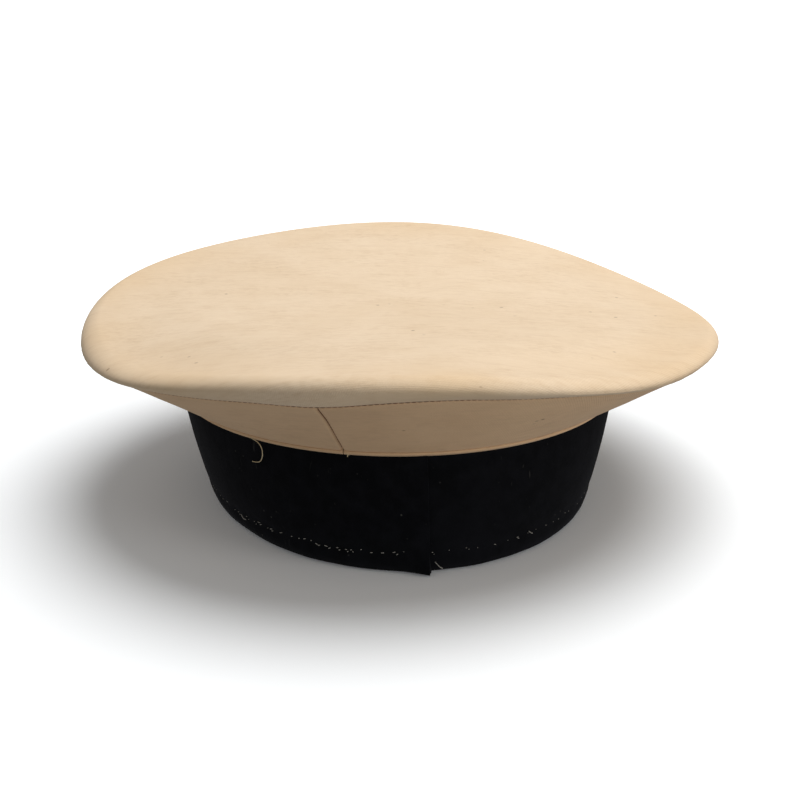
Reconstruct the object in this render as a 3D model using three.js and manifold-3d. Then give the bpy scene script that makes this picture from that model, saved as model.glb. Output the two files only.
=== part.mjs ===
// A sailor's flat cap: a wide cotton crown held out by a sprung hoop, on a deep wool band.
// Millimetres, +Z up. The origin is on the surface the rim stands on, under the middle of the crown.
// +Y is the wearer's front, and the joins of the band and of the sweatband are at the back.

import * as THREE from 'three';
import { mergeVertices } from 'three/addons/utils/BufferGeometryUtils.js';
import Module from 'manifold-3d';

const wasm = await Module();
wasm.setup();

// ---- Driving dimensions ----

const rim = { halfWidth: 88, halfLength: 104 };         // the band's lower edge, outside
const bandTop = { halfWidth: 99.8, halfLength: 107.2 }; // its upper edge, outside
const bandHeight = 49;
const bandBulge = 1.2;       // how far the band's middle stands out of a straight cone

const hoop = { radius: 136, height: 81.5, wire: 1.25 };
const rollRadius = 5.8;      // outside of the cloth where it turns over the hoop
const crownDish = 2;         // how far the middle of the crown sinks between the hoop's sides
const seamFromRoll = 4.7;    // cloth between the roll and the seam that joins top and quarters
const seamAllowance = 7;

// The hoop has sprung out of level: each wave lifts it by lift, count times round, highest at the
// angle at, in degrees from +X.
const hoopWaves = [
  { count: 1, lift: 4.5, at: 138 },
  { count: 2, lift: 7.7, at: 88 },
  { count: 3, lift: 0.85, at: 45 },
  { count: 4, lift: 1.05, at: -25 },
];

const cloth = { drill: 1, wool: 1.6, buckram: 1.2, wadding: 1.2, lining: 0.6, leather: 1.2, tape: 0.9 };
const clearance = 0.3;       // between pieces that lie on each other
const layerGap = 0.6;        // between the layers of the crown's saddle

const quarterSeamAt = -115;  // one of the four seams, in degrees from +X
const quarterNames = ['back', 'right', 'front', 'left'];
const bandJoinAt = -95;
const sweatbandJoinAt = -90;
const hoopJoinAt = 90;
const joiner = { length: 24, wall: 0.8, play: 0.45 };

const hemHeight = 14;
const stitchHeight = 11;
const joinFlare = { out: 5, height: 11 };    // the lower corner of the band's lapped end curls out
const stayWidth = 12;
const joinPatch = { width: 26, bottom: 15.6, top: 28.4 };
const sweatband = { bottom: 0.8, top: 38, lean: 1.7 }; // its free top edge leans in by lean
const threadThickness = 0.5;

const facets = 48;
const rings = 3;             // steps down a slope, and round the roll
const crownBends = [0, 0.4, 0.7, 0.87]; // where the crown bends, as shares of the hoop's radius

// ---- The round, level pattern that every piece is cut to ----

const rimRadius = (rim.halfWidth + rim.halfLength) / 2;
const bandTopRadius = (bandTop.halfWidth + bandTop.halfLength) / 2;
const woolInside = cloth.wool + clearance;
const stiffenerInside = woolInside + cloth.buckram + clearance;
const hemInside = stiffenerInside + cloth.wool;

// The band's outer face in the pattern, and a point some way inside it.
function bandFace(height) {
  const up = height / bandHeight;
  return rimRadius + (bandTopRadius - rimRadius) * up + bandBulge * 4 * up * (1 - up);
}
const inBand = (depth, height) => new THREE.Vector2(bandFace(height) - depth, height);

// The crown's upper cloth runs flat, turns over the hoop and leaves it at 45 degrees.
const clothRoll = rollRadius - cloth.drill / 2;
const topHeight = hoop.height + clothRoll;
const diagonal = new THREE.Vector2(1, 1).normalize();
const rollEnd = new THREE.Vector2(
  hoop.radius + clothRoll * diagonal.x,
  hoop.height - clothRoll * diagonal.y,
);

// The quarters slope from the seam under the roll to the top edge of the band.
const seam = rollEnd.clone().addScaledVector(diagonal, -seamFromRoll);
const quarterFoot = new THREE.Vector2(bandTopRadius - 0.3, bandHeight + clearance + cloth.drill / 2);
const slope = quarterFoot.clone().sub(seam).normalize();
const slopeLength = quarterFoot.distanceTo(seam);
const slopeInside = new THREE.Vector2(slope.y, -slope.x);

// A point on the quarters' slope, along it from the seam and so far inside the crown.
function onSlope(along, inside) {
  return seam.clone().addScaledVector(slope, along).addScaledVector(slopeInside, inside);
}
function heightOfSlope(radius) {
  const share = (radius - quarterFoot.x) / (seam.x - quarterFoot.x);
  return quarterFoot.y + (seam.y - quarterFoot.y) * Math.max(share, 0);
}

// ---- From the pattern to the cap's own shape ----

const { clamp, lerp, degToRad } = THREE.MathUtils;

function hoopLift(radius, turn, height) {
  const out = Math.min(radius / hoop.radius, 1);
  const onQuarter = clamp((radius - quarterFoot.x) / (seam.x - quarterFoot.x), 0, 1);
  const low = heightOfSlope(radius);
  const inside = clamp((height - low) / (topHeight - low), 0, 1);
  let lift = -crownDish * (1 - out * out) * inside;
  for (const wave of hoopWaves) {
    const reach = lerp(onQuarter, out ** wave.count, inside);
    lift += wave.lift * reach * Math.cos(wave.count * (turn - degToRad(wave.at)));
  }
  return lift;
}

function shapeToHead(p) {
  const up = clamp(p.z / bandHeight, 0, 1);
  const toHoop = clamp((p.z - bandHeight) / (seam.y - bandHeight), 0, 1);
  const bandWide = lerp(rim.halfWidth / rimRadius, bandTop.halfWidth / bandTopRadius, up);
  const bandLong = lerp(rim.halfLength / rimRadius, bandTop.halfLength / bandTopRadius, up);
  const lift = hoopLift(Math.hypot(p.x, p.y), Math.atan2(p.y, p.x), p.z);
  p.set(p.x * lerp(bandWide, 1, toHoop), p.y * lerp(bandLong, 1, toHoop), p.z + lift);
}

function movePoints(geometry, move) {
  const places = geometry.getAttribute('position');
  const p = new THREE.Vector3();
  for (let i = 0; i < places.count; i++) {
    move(p.fromBufferAttribute(places, i));
    places.setXYZ(i, p.x, p.y, p.z);
  }
}

// ---- Shapes ----

// The outline of cloth of a thickness that follows a line, mitred at its bends.
function clothAlong(line, thickness) {
  const steps = line.slice(1).map((point, i) => point.clone().sub(line[i]).normalize());
  const face = (side) => line.map((point, i) => {
    const into = steps[Math.max(i - 1, 0)];
    const along = into.clone().add(steps[Math.min(i, steps.length - 1)]).normalize();
    const square = new THREE.Vector2(-along.y, along.x);
    return point.clone().addScaledVector(square, side * thickness / 2 / along.dot(into));
  });
  return [...face(1), ...face(-1).reverse()];
}

// Points on the way from one place to the next, without the first.
function straightTo(from, to) {
  return Array.from({ length: rings }, (_, i) => from.clone().lerp(to, (i + 1) / rings));
}

// Points from the axis out to a radius. The crown's layers all bend at the same places.
function acrossTo(radius, height) {
  const bends = [...crownBends.map((share) => share * hoop.radius), radius];
  return bends.map((bend) => new THREE.Vector2(bend, height));
}

function circle(centre, radius, corners) {
  const round = new THREE.Path().absarc(centre.x, centre.y, radius, 0, 2 * Math.PI, false);
  return round.getSpacedPoints(corners).slice(0, -1);
}

// An outline turned round the cap's axis. One that starts on the axis ends on it too.
function turned(outline) {
  const points = outline.map((point) => point.clone());
  if (THREE.ShapeUtils.isClockWise(points)) points.reverse();
  if (points[0].x > 0) points.push(points[0].clone());
  return asSolid(new THREE.LatheGeometry(points, facets).rotateX(Math.PI / 2));
}

function asSolid(geometry) {
  geometry.deleteAttribute('normal');
  geometry.deleteAttribute('uv');
  const merged = mergeVertices(geometry);
  const corners = merged.index.array;
  const triangles = [];
  for (let i = 0; i < corners.length; i += 3) {
    const [a, b, c] = corners.slice(i, i + 3);
    if (a !== b && b !== c && c !== a) triangles.push(a, b, c);
  }
  return new wasm.Manifold(new wasm.Mesh({
    numProp: 3,
    vertProperties: merged.getAttribute('position').array,
    triVerts: new Uint32Array(triangles),
  }));
}

// A slab that stands upright, from the axis outwards at an angle.
function slab(angle, width) {
  const reach = 2 * hoop.radius;
  const box = new THREE.BoxGeometry(reach, width, reach);
  return asSolid(box.translate(reach / 2, 0, 0).rotateZ(degToRad(angle)));
}

// A block that fills the corner from a seam at an angle to the next one.
function betweenSeams(angle) {
  const reach = 2 * hoop.radius;
  const middle = (reach + clearance) / 2;
  const box = new THREE.BoxGeometry(reach, reach, reach);
  return asSolid(box.translate(middle, middle, 0).rotateZ(degToRad(angle)));
}

const cap = new THREE.Group();

function addPiece(name, solid, material, reshape) {
  const made = solid.getMesh();
  const geometry = new THREE.BufferGeometry();
  geometry.setAttribute('position', new THREE.BufferAttribute(made.vertProperties, 3));
  geometry.setIndex(new THREE.BufferAttribute(made.triVerts, 1));
  if (reshape) movePoints(geometry, reshape);
  movePoints(geometry, shapeToHead);
  geometry.computeVertexNormals();
  const mesh = new THREE.Mesh(geometry, material);
  mesh.name = name;
  cap.add(mesh);
}

const finish = (color, roughness, metalness = 0) => (
  new THREE.MeshStandardMaterial({ color, roughness, metalness })
);
const materials = {
  drill: finish(0xe3c8a4, 0.9),
  wool: finish(0x0c0d11, 0.95),
  lining: finish(0xcdbd9c, 0.85),
  buckram: finish(0xb9ab8c, 0.9),
  wadding: finish(0xd9d2c2, 1),
  leather: finish(0x5a3a22, 0.55),
  steel: finish(0x8d8f92, 0.35, 0.9),
  felt: finish(0x9a948a, 1),
  brownThread: finish(0x7a5436, 0.8),
  greyThread: finish(0xa7a296, 0.8),
};

// ---- Crown ----

function crownTop() {
  const roll = new THREE.Path();
  roll.absarc(hoop.radius, hoop.height, clothRoll, Math.PI / 2, -Math.PI / 4, true);
  const behindQuarter = cloth.drill + clearance;
  const line = [
    ...acrossTo(hoop.radius, topHeight),
    ...roll.getSpacedPoints(rings + 1).slice(1),
    rollEnd.clone().lerp(seam, 0.7),
    onSlope(0, behindQuarter),
    onSlope(seamAllowance, behindQuarter),
  ];
  addPiece('crown_top', turned(clothAlong(line, cloth.drill)), materials.drill);
}

// One sloping ring of cloth, cut by four seams into quarters. Its foot laps over the band's top
// edge and is sewn in behind the stiffener.
function quarters() {
  const head = onSlope(0.8, 0);
  const lipDepth = stiffenerInside + cloth.drill / 2;
  const line = [
    head,
    ...straightTo(head, quarterFoot),
    new THREE.Vector2(inBand(lipDepth, bandHeight).x, quarterFoot.y),
    inBand(lipDepth, bandHeight - 6),
  ];
  const ring = turned(clothAlong(line, cloth.drill));
  quarterNames.forEach((name, i) => {
    const piece = ring.intersect(betweenSeams(quarterSeamAt + 90 * i));
    addPiece(`quarter_${name}`, piece, materials.drill);
  });
}

// A tape inside each quarter seam takes the pull of the hoop.
function seamStays() {
  const inside = cloth.drill / 2 + clearance + cloth.tape / 2;
  const top = onSlope(seamAllowance + 1.6, inside);
  const foot = onSlope(slopeLength - 4, inside);
  const ring = turned(clothAlong([top, ...straightTo(top, foot)], cloth.tape));
  quarterNames.forEach((name, i) => {
    const strip = ring.intersect(slab(quarterSeamAt + 90 * i, stayWidth));
    addPiece(`seam_stay_${name}`, strip, materials.lining);
  });
}

function disc(name, height, radius, thickness, material) {
  addPiece(name, turned(clothAlong(acrossTo(radius, height), thickness)), material);
}

const waddingHeight = topHeight - cloth.drill / 2 - layerGap - cloth.wadding / 2;
const liningHeight = waddingHeight - cloth.wadding / 2 - layerGap - cloth.lining / 2;

// The lining's side hangs from the edge of its top, down inside the quarters and the band.
function sideLining() {
  const dropRadius = hoop.radius - 5;
  const lipHeight = liningHeight - cloth.lining - layerGap;
  const inside = 1.5 * cloth.drill + 2 * clearance + cloth.lining / 2;
  const dropFoot = (dropRadius - seam.x - slopeInside.x * inside) / slope.x;
  const slopeTop = onSlope(dropFoot, inside);
  const slopeFoot = onSlope(slopeLength - 0.2, inside);
  const skirtDepth = stiffenerInside + cloth.drill + clearance + cloth.lining / 2;
  const line = [
    new THREE.Vector2(dropRadius - 6, lipHeight),
    new THREE.Vector2(dropRadius, lipHeight),
    slopeTop,
    ...straightTo(slopeTop, slopeFoot),
    new THREE.Vector2(inBand(skirtDepth, bandHeight).x, slopeFoot.y - cloth.lining),
    inBand(skirtDepth, 30),
  ];
  addPiece('side_lining', turned(clothAlong(line, cloth.lining)), materials.lining);
}

// ---- Hoop ----

function springHoop() {
  const centre = new THREE.Vector2(hoop.radius, hoop.height);
  const gap = (width) => slab(hoopJoinAt, width);
  const wire = turned(circle(centre, hoop.wire, 8)).subtract(gap(1));
  addPiece('hoop_wire', wire, materials.steel);

  const bore = hoop.wire + joiner.play;
  const sleeve = turned(circle(centre, bore + joiner.wall, 8));
  const tube = sleeve.subtract(turned(circle(centre, bore, 8)));
  addPiece('hoop_joiner', tube.intersect(gap(joiner.length)), materials.steel);

  // The padding is slit along its inner side, to go on over the wire.
  const slit = Math.PI - 0.35;
  const roll = new THREE.Path();
  roll.absarc(centre.x, centre.y, rollRadius - cloth.drill - 0.5, -slit, slit, false);
  const channel = new THREE.Path();
  channel.absarc(centre.x, centre.y, bore, slit, -slit, true);
  const outline = [...roll.getSpacedPoints(8), ...channel.getSpacedPoints(6)];
  addPiece('hoop_padding', turned(outline).subtract(gap(joiner.length + 2)), materials.felt);
}

// ---- Band ----

// The outer layer's lower corner curls away from the lapped end beside it.
function curlCorner(p) {
  const join = degToRad(bandJoinAt);
  const outward = new THREE.Vector3(Math.cos(join), Math.sin(join), 0);
  const aside = p.x * outward.y - p.y * outward.x;
  const depth = bandFace(p.z) - Math.hypot(p.x, p.y);
  if (p.dot(outward) < 0 || aside < 0 || aside > 1) return;
  if (p.z > joinFlare.height || depth > cloth.wool + clearance / 2) return;
  p.addScaledVector(outward, joinFlare.out * (1 - p.z / joinFlare.height) ** 2);
}

// The wool is turned up inside at the foot as a hem, and its two ends meet at the back.
function capBand() {
  const face = cloth.wool / 2;
  const hem = stiffenerInside + face;
  const fold = 0.9;
  const line = [
    ...[bandHeight, 36, 23, joinFlare.height, 6].map((height) => inBand(face, height)),
    inBand(face, face + 1.5 * fold),
    inBand(face + fold, face),
    inBand(hem - fold, face),
    inBand(hem, face + 1.5 * fold),
    inBand(hem, hemHeight),
  ];
  const strip = turned(clothAlong(line, cloth.wool)).subtract(slab(bandJoinAt, clearance));
  addPiece('cap_band', strip, materials.wool, curlCorner);
}

function insideOfBand() {
  const buckramDepth = woolInside + cloth.buckram / 2;
  const buckram = [2.6, 14, 26, 37, bandHeight - 1].map((height) => inBand(buckramDepth, height));
  addPiece('band_stiffener', turned(clothAlong(buckram, cloth.buckram)), materials.buckram);

  const leatherDepth = hemInside + clearance + cloth.leather / 2;
  const leather = [
    inBand(leatherDepth, sweatband.bottom),
    inBand(leatherDepth, hemHeight),
    inBand(leatherDepth + sweatband.lean / 3, 28),
    inBand(leatherDepth + sweatband.lean, sweatband.top),
  ];
  const strip = turned(clothAlong(leather, cloth.leather));
  addPiece('sweatband', strip.subtract(slab(sweatbandJoinAt, 2 * clearance)), materials.leather);

  const patchDepth = stiffenerInside + 1;
  const patch = turned(clothAlong(
    [inBand(patchDepth, joinPatch.bottom), inBand(patchDepth, joinPatch.top)],
    cloth.tape,
  ));
  const patchPiece = patch.intersect(slab(sweatbandJoinAt, joinPatch.width));
  addPiece('sweatband_join_patch', patchPiece, materials.lining);
}

// ---- Sewing thread that shows ----

function threads() {
  const standsOff = clearance + threadThickness / 2;
  const crownSeam = onSlope(0.3, -cloth.drill / 2 - threadThickness / 2);
  addPiece('crown_seam_thread', turned(circle(crownSeam, threadThickness / 2, 4)), materials.brownThread);
  const hemSeam = inBand(-standsOff, stitchHeight);
  addPiece('hem_thread', turned(circle(hemSeam, threadThickness / 2, 4)), materials.greyThread);
}

crownTop();
quarters();
seamStays();
disc('top_interlining', waddingHeight, hoop.radius - 4.5, cloth.wadding, materials.wadding);
disc('top_lining', liningHeight, hoop.radius - 5.2, cloth.lining, materials.lining);
sideLining();
springHoop();
capBand();
insideOfBand();
threads();

export default cap;
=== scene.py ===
# A sailor's flat cap, finished in cloth, wool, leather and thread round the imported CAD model.

import math
import random

import bpy
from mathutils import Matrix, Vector, kdtree, noise


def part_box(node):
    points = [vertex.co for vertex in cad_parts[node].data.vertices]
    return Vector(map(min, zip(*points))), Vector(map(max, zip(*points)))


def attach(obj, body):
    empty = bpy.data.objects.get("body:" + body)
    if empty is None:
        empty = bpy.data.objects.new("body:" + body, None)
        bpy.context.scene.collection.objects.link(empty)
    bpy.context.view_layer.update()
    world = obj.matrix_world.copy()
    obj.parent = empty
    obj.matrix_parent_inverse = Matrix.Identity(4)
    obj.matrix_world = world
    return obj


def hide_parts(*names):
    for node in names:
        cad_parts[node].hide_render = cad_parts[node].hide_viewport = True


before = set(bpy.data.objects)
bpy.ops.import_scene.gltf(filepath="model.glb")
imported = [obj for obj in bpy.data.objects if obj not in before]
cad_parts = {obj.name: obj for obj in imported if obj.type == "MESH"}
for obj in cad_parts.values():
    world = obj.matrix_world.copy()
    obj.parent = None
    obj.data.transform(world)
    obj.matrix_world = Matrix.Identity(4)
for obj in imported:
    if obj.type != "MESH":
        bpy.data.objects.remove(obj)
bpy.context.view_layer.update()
mm = 0.001

# The cap's measures, outside unless they say otherwise. The hoop's are read from the frame.
rim = {"halfWidth": 88 * mm, "halfLength": 104 * mm}
bandTop = {"halfWidth": 99.8 * mm, "halfLength": 107.2 * mm}
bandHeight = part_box("cap_band")[1].z
bandBulge = 1.2 * mm
drill = 1.0 * mm          # thickness of the crown's cloth
wool = 1.6 * mm
buckram = 1.2 * mm
clearance = 0.3 * mm
crownDish = 2 * mm
seamFromRoll = 4.7 * mm
seamAllowance = 7 * mm
quarterSeamAt = -113.3    # degrees from +X, with three more seams every 90
quarterNames = ["back", "right", "front", "left"]
bandJoinAt = -95


def readHoop(stations=48, counts=4):
    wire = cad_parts["hoop_wire"].data.vertices
    radius = sum(v.co.xy.length for v in wire) / len(wire)
    heights = [[] for _ in range(stations)]
    for v in wire:
        turn = math.atan2(v.co.y, v.co.x)
        heights[round(turn / math.tau * stations) % stations].append(v.co.z)
    level = [sum(found) / len(found) for found in heights]
    turns = [math.tau * i / stations for i in range(stations)]
    waves = []
    for count in range(1, counts + 1):    # the waves that have sprung the hoop out of level
        along = 2 / stations * sum(h * math.cos(count * a) for h, a in zip(level, turns))
        across = 2 / stations * sum(h * math.sin(count * a) for h, a in zip(level, turns))
        waves.append((count, along, across))
    return radius, sum(level) / stations, waves


hoopRadius, hoopHeight, hoopWaves = readHoop()
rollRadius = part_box("crown_top")[1].x - hoopRadius
clothRoll = rollRadius - drill / 2    # to the middle of the cloth
topHeight = hoopHeight + clothRoll
print("hoop", round(hoopRadius, 4), "high", round(hoopHeight, 4), "roll", round(rollRadius, 4))

# Every piece is cut and sewn as if the cap were round and level, then sprung to its own shape.
rimRadius = (rim["halfWidth"] + rim["halfLength"]) / 2
bandTopRadius = (bandTop["halfWidth"] + bandTop["halfLength"]) / 2
diagonal = Vector((1, 1)).normalized()
rollEnd = Vector((hoopRadius + clothRoll * diagonal.x, hoopHeight - clothRoll * diagonal.y))
seam = rollEnd - diagonal * seamFromRoll
quarterFoot = Vector((bandTopRadius - clearance, bandHeight + clearance + drill / 2))
slope = (quarterFoot - seam).normalized()
slopeInside = Vector((slope.y, -slope.x))
slopeLength = (quarterFoot - seam).length


def mix(a, b, share):
    return a + (b - a) * share


def clamp(value):
    return min(max(value, 0), 1)


def bandFace(height):
    up = height / bandHeight
    return mix(rimRadius, bandTopRadius, up) + bandBulge * 4 * up * (1 - up)


def inBand(depth, height):
    return Vector((bandFace(height) - depth, height))


def onSlope(along, inside):
    return seam + slope * along + slopeInside * inside


def hoopLift(radius, turn, height):
    out = min(radius / hoopRadius, 1)
    onQuarter = (radius - quarterFoot.x) / (seam.x - quarterFoot.x)
    low = mix(quarterFoot.y, seam.y, max(onQuarter, 0))
    inside = clamp((height - low) / (topHeight - low))
    lift = -crownDish * (1 - out * out) * inside
    for count, along, across in hoopWaves:
        reach = mix(clamp(onQuarter), out ** count, inside)
        lift += reach * (along * math.cos(count * turn) + across * math.sin(count * turn))
    return lift


# The soft cap has settled a little: the crown drifts to one side and the band bellies at the back.
settled = {"drift": 2.0 * mm, "narrow": 0.985, "belly": 3.7 * mm, "bellyAt": -101, "bellyWide": 50,
           "seamDips": [(-113, 8, -1.5 * mm), (-92, 9, 0.9 * mm), (-76, 9, 0.6 * mm),
                        (-143, 14, 0.8 * mm), (-56, 9, -0.4 * mm), (-30, 15, 2.6 * mm)],
           "pressed": [(-151, 22, 0.40), (-110, 28, 0.22), (-62, 26, 0.55)], "pressWide": 50 * mm,
           "tip": {"at": -15, "wide": 13, "lift": 3.2 * mm, "reach": 9 * mm},
           "dipReach": 6 * mm, "slopeReach": 20 * mm}


def pressAt(p):    # how far the roll has been pressed down on to its seam here
    share = sum(depth * bell(turnBetween(angleOf(p), at), width)
                for at, width, depth in settled["pressed"])
    near = clamp((p.xy.length - hoopRadius) / settled["pressWide"] + 1)
    return share * near * near * (3 - 2 * near)


def onCap(p):    # where a point of the level pattern comes to
    turn = math.atan2(p.y, p.x)
    up = clamp(p.z / bandHeight)
    toHoop = clamp((p.z - bandHeight) / (seam.y - bandHeight))
    wide = mix(rim["halfWidth"] / rimRadius, bandTop["halfWidth"] / bandTopRadius, up)
    long = mix(rim["halfLength"] / rimRadius, bandTop["halfLength"] / bandTopRadius, up)
    moved = Vector((p.x * mix(wide * settled["narrow"], 1, toHoop), p.y * mix(long, 1, toHoop),
                    p.z + hoopLift(p.xy.length, turn, p.z)))
    moved.x += settled["drift"] * toHoop
    moved.z -= pressAt(p) * max(p.z - seam.y, 0)
    around = turnBetween(math.degrees(turn), settled["bellyAt"])
    belly = settled["belly"] * bell(around, settled["bellyWide"]) * clamp(1 - p.z / bandHeight)
    moved += Vector((math.cos(turn), math.sin(turn), 0)) * belly
    onSlopeShare = clamp((p.xy.length - quarterFoot.x) / settled["slopeReach"])
    nearSeam = bell(p.z - seam.y, settled["dipReach"]) * onSlopeShare
    for at, width, dip in settled["seamDips"]:
        moved.z += dip * nearSeam * bell(turnBetween(math.degrees(turn), at), width)
    tip = settled["tip"]    # here the roll is drawn up thin from below
    drawnUp = clamp((topHeight - p.z) / tip["reach"]) * bell(p.z - seam.y, tip["reach"])
    nearTip = bell(turnBetween(math.degrees(turn), tip["at"]), tip["wide"])
    moved.z += tip["lift"] * drawnUp * onSlopeShare * nearTip
    return moved


def outOf(p):
    return Vector((p.x, p.y, 0)).normalized()


def bell(distance, width):    # 1 at no distance, falling off smoothly
    return math.exp(-(distance / width) ** 2)


def turnBetween(a, b):    # degrees from b to a, the short way
    return (a - b + 180) % 360 - 180


def turned(point, degrees):    # a point of a profile, as (radius, height), turned to an angle
    a = math.radians(degrees)
    return Vector((point.x * math.cos(a), point.x * math.sin(a), point.y))


def angleOf(p):
    return math.degrees(math.atan2(p.y, p.x))


# The camera stands behind the cap and a little to its left.
view = {"azimuth": -10.97, "elevation": 18.48, "distance": 519 * mm, "lens": 49.64, "roll": -0.42,
        "sensor": 36, "target": (1.6 * mm, -1.2 * mm, 35.9 * mm)}


def addCamera():
    azimuth, elevation = math.radians(view["azimuth"]), math.radians(view["elevation"])
    back = Vector((math.sin(azimuth) * math.cos(elevation),
                   -math.cos(azimuth) * math.cos(elevation), math.sin(elevation)))
    bpy.ops.object.camera_add(location=Vector(view["target"]) + back * view["distance"])
    camera = bpy.context.object
    camera.data.lens = view["lens"]
    camera.data.sensor_width = view["sensor"]
    camera.rotation_euler = (-back).to_track_quat("-Z", "Y").to_euler()
    bpy.context.view_layer.update()
    camera.rotation_euler.rotate_axis("Z", math.radians(view["roll"]))
    bpy.context.scene.camera = camera


addCamera()
print("camera in place")


# A socket that takes part in sums: each operator adds its own Math node.
class Value:
    def __init__(self, finish, socket):
        self.finish, self.socket = finish, socket

    def maths(self, operation, *values):
        inputs = dict(enumerate(values))
        return self.finish.node("ShaderNodeMath", {"operation": operation}, inputs)

    def __add__(self, other):
        return self.maths("ADD", self, other)

    __radd__ = __add__

    def __sub__(self, other):
        return self.maths("SUBTRACT", self, other)

    def __rsub__(self, other):
        return self.maths("SUBTRACT", other, self)

    def __mul__(self, other):
        return self.maths("MULTIPLY", self, other)

    __rmul__ = __mul__

    def __truediv__(self, other):
        return self.maths("DIVIDE", self, other)

    def between(self, low, high):    # 0 below low, 1 above high
        inputs = {"Value": self, "From Min": low, "From Max": high}
        return self.finish.node("ShaderNodeMapRange", {"clamp": True}, inputs)


class Finish:
    def __init__(self, name, shine=0.5, **shader):
        self.material = bpy.data.materials.new(name)
        self.material.use_nodes = True
        self.nodes = self.material.node_tree.nodes
        self.links = self.material.node_tree.links
        self.shader = self.nodes["Principled BSDF"]
        self.shader.inputs["Specular IOR Level"].default_value = shine
        self.set(**shader)

    def node(self, kind, settings=None, inputs=None, output=0):
        made = self.nodes.new(kind)
        for name, value in (settings or {}).items():
            setattr(made, name, value)
        for key, value in (inputs or {}).items():
            self.plug(made.inputs[key], value)
        return Value(self, made.outputs[output])

    def plug(self, socket, value):
        if isinstance(value, Value):
            self.links.new(value.socket, socket)
        elif socket.type == "RGBA" and len(value) == 3:
            socket.default_value = (*value, 1)
        else:
            socket.default_value = value

    def set(self, **shader):    # words such as BaseColor stand for the shader's Base Color
        for word, value in shader.items():
            name = "".join(" " + c if c.isupper() else c for c in word).strip()
            self.plug(self.shader.inputs[name], value)

    def objectPlace(self):
        return self.node("ShaderNodeTexCoord", output="Object")

    def clothPlace(self):    # where a point was on the flat cloth, in metres
        return self.node("ShaderNodeAttribute", {"attribute_name": "cut"}, output="Vector")

    def stretch(self, place, scale, turn=0):
        inputs = {"Vector": place, "Scale": scale, "Rotation": (0, 0, math.radians(turn))}
        return self.node("ShaderNodeMapping", inputs=inputs)

    def noise(self, place, scale=1, detail=2, rough=0.5, warp=0):
        inputs = {"Vector": place, "Scale": scale, "Detail": detail, "Roughness": rough,
                  "Distortion": warp}
        return self.node("ShaderNodeTexNoise", inputs=inputs)

    def waves(self, place, scale, warp=0, warpScale=1):
        inputs = {"Vector": place, "Scale": scale, "Distortion": warp, "Detail": 1,
                  "Detail Scale": warpScale}
        return self.node("ShaderNodeTexWave", {"wave_profile": "SIN"}, inputs)

    def cells(self, place, scale):    # how far it is to the nearest cell's middle
        inputs = {"Vector": place, "Scale": scale}
        return self.node("ShaderNodeTexVoronoi", {"feature": "F1"}, inputs, "Distance")

    def blend(self, under, over, share):
        settings = {"data_type": "RGBA", "blend_type": "MIX"}
        return self.node("ShaderNodeMix", settings, {0: share, 6: under, 7: over}, 2)

    def bump(self, height, distance, strength):
        inputs = {"Height": height, "Distance": distance, "Strength": strength}
        return self.node("ShaderNodeBump", inputs=inputs)

    def length(self, place):
        return self.node("ShaderNodeVectorMath", {"operation": "LENGTH"}, {0: place}, "Value")

    def axis(self, place, output):
        return self.node("ShaderNodeSeparateXYZ", inputs={0: place}, output=output)


# Cotton drill: diagonal twill, slubs along the weft, faint blotches, rust specks.
drillLook = {
    "top": {"cloth": (0.82, 0.675, 0.505), "slub": (0.58, 0.42, 0.27),
            "blotch": (0.73, 0.575, 0.40), "pale": (0.87, 0.75, 0.585)},
    # under: the quarters' drill, the same cloth made darker and warmer as painted shade for their
    # downward faces
    "under": {"cloth": (0.75, 0.53, 0.33), "slub": (0.56, 0.38, 0.225),
              "blotch": (0.65, 0.44, 0.265), "pale": (0.80, 0.59, 0.39)},
    "speck": (0.16, 0.075, 0.03),
    "handled": (0.74, 0.53, 0.30),
    "handledFrom": 30 * mm,    # inside the hoop
    "twill": 0.00078,     # from one diagonal rib to the next
    "yarn": 0.00042,      # from one weft yarn to the next
    "ribDepth": 0.00010,
}


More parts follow.
